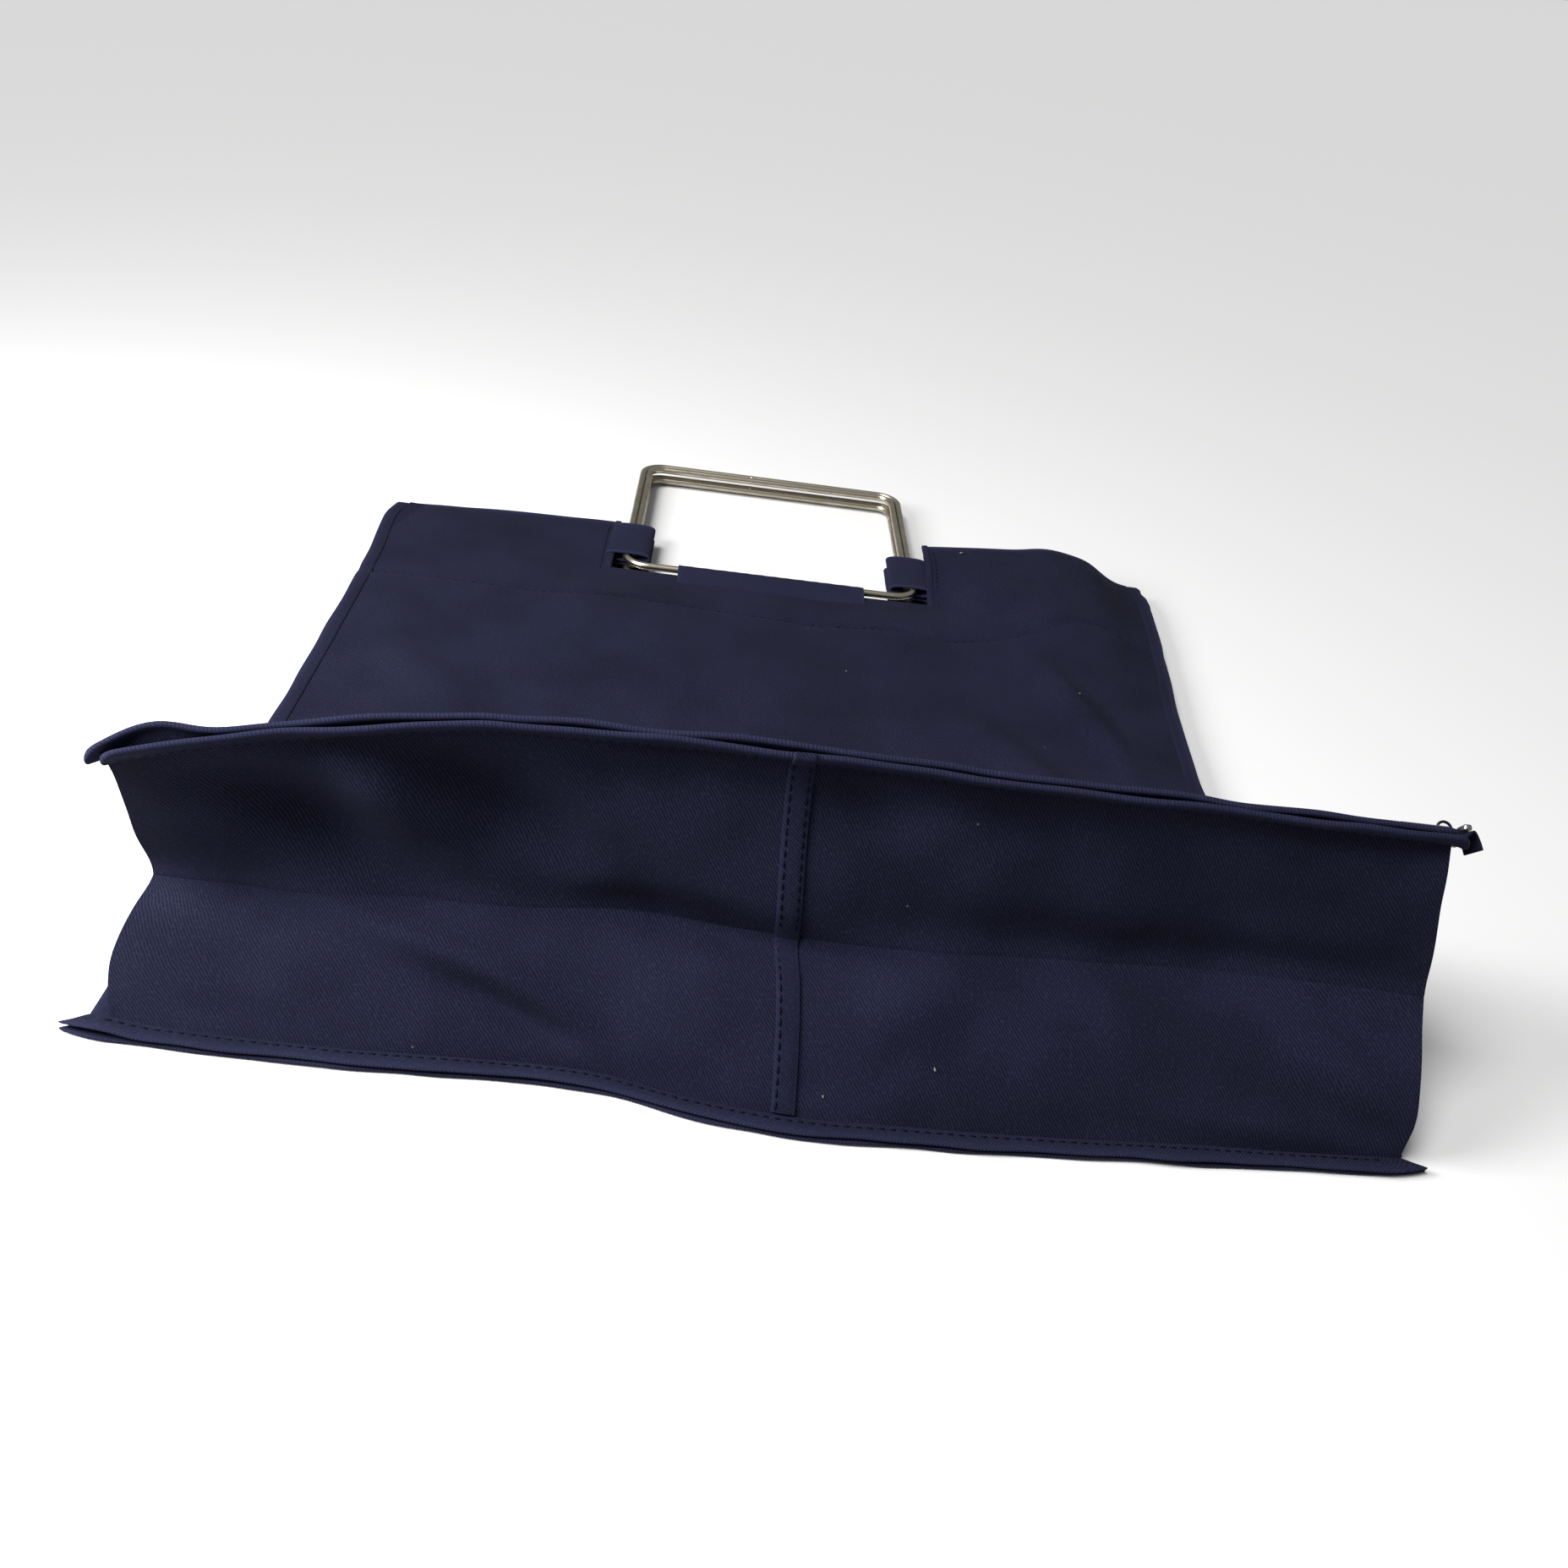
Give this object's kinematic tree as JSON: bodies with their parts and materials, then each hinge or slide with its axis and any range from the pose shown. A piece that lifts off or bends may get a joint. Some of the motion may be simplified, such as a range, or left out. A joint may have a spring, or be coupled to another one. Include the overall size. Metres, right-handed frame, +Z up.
{
  "type": "folding shopping bag",
  "caption": "Flat-folding cloth shopping bag with a bottom gusset that opens out, a zip along its lower edge and swinging wire handles at the mouth.",
  "frame": {"origin": "centre of the back panel's underside, on which the bag lies", "axes": "+Z up, +Y from the bottom towards the mouth and handles, +X to the right seen from the bottom"},
  "size_m": [0.4246, 0.4855, 0.0998],
  "materials": {
    "navy_drill": "cotton drill with a fine diagonal twill",
    "seam_cloth": "pinched and topstitched drill",
    "facing_cloth": "drill, second layer",
    "nickel_wire": "dulled nickel plate",
    "zip_metal": "nickel plate",
    "zip_coil": "dyed nylon",
    "zip_tape": "woven tape"
  },
  "bodies": {
    "bag": {"back_panel": "navy_drill", "front_panel": "navy_drill", "back_facing": "facing_cloth", "front_facing": "facing_cloth", "back_handle_casing": "navy_drill", "front_handle_casing": "navy_drill", "side_gusset_left": "navy_drill", "side_gusset_right": "navy_drill", "corner_fold_lower_left": "navy_drill", "corner_fold_lower_right": "navy_drill", "corner_fold_upper_left": "navy_drill", "corner_fold_upper_right": "navy_drill", "back_side_seam_left": "seam_cloth", "back_side_seam_right": "seam_cloth", "front_side_seam_left": "seam_cloth", "front_side_seam_right": "seam_cloth", "back_bottom_seam": "seam_cloth"},
    "front_lift": {"front_panel_lift": "navy_drill", "front_bottom_seam": "seam_cloth", "lift_side_seam_left": "seam_cloth", "lift_side_seam_right": "seam_cloth", "zip_tape": "zip_tape", "zip_coil": "zip_coil", "zip_end_stops": "zip_metal"},
    "lower_gusset": {"gusset_lower_left": "navy_drill", "gusset_lower_right": "navy_drill", "centre_seam_lower": "navy_drill"},
    "upper_gusset": {"gusset_upper_left": "navy_drill", "gusset_upper_right": "navy_drill", "centre_seam_upper": "navy_drill"},
    "zip_slider": {"zip_slider": "zip_metal"},
    "zip_pull": {"zip_pull": "zip_metal"},
    "front_handle": {"front_handle_outer_wire": "nickel_wire", "front_handle_inner_wire": "nickel_wire", "front_post_loop_left": "navy_drill", "front_post_loop_right": "navy_drill"},
    "back_handle": {"back_handle_outer_wire": "nickel_wire", "back_handle_inner_wire": "nickel_wire", "back_post_loop_left": "navy_drill", "back_post_loop_right": "navy_drill"}
  },
  "joints": [
    {"name": "bottom_opening", "type": "hinge", "parent": "bag", "child": "front_lift", "pos_m": [0, -0.085, 0.00925], "axis": [-1, 0, 0], "range_deg": [-48.3, 4], "deforming": ["corner_fold_lower_left", "corner_fold_lower_right", "corner_fold_upper_left", "corner_fold_upper_right"]},
    {"name": "lower_gusset_fold", "type": "hinge", "parent": "bag", "child": "lower_gusset", "pos_m": [0, -0.19445, 0.00135], "axis": [1, 0, 0], "range_deg": [-40.97, 3.85]},
    {"name": "upper_gusset_fold", "type": "hinge", "parent": "front_lift", "child": "upper_gusset", "pos_m": [0, -0.15155, 0.0938], "axis": [-1, 0, 0], "range_deg": [-35.5, 3.4]},
    {"name": "front_handle_swing", "type": "hinge", "parent": "bag", "child": "front_handle", "pos_m": [0, 0.1474, 0.00925], "axis": [1, 0, 0], "range_deg": [0, 40]},
    {"name": "back_handle_swing", "type": "hinge", "parent": "bag", "child": "back_handle", "pos_m": [0, 0.1474, 0.00285], "axis": [1, 0, 0], "range_deg": [-40, 0]},
    {"name": "zip_slide", "type": "slide", "parent": "front_lift", "child": "zip_slider", "axis": [-1, 0, 0], "range_m": [0, 0.3214]},
    {"name": "zip_pull_swing", "type": "hinge", "parent": "zip_slider", "child": "zip_pull", "pos_m": [0.2032, -0.14023, 0.08916], "axis": [0, 0.6115, -0.7912], "range_deg": [0, 150]}
  ],
  "couplings": [
    {"joint": "lower_gusset_fold", "follows": "bottom_opening", "ratio": 0.83791},
    {"joint": "upper_gusset_fold", "follows": "bottom_opening", "ratio": 0.72469}
  ]
}
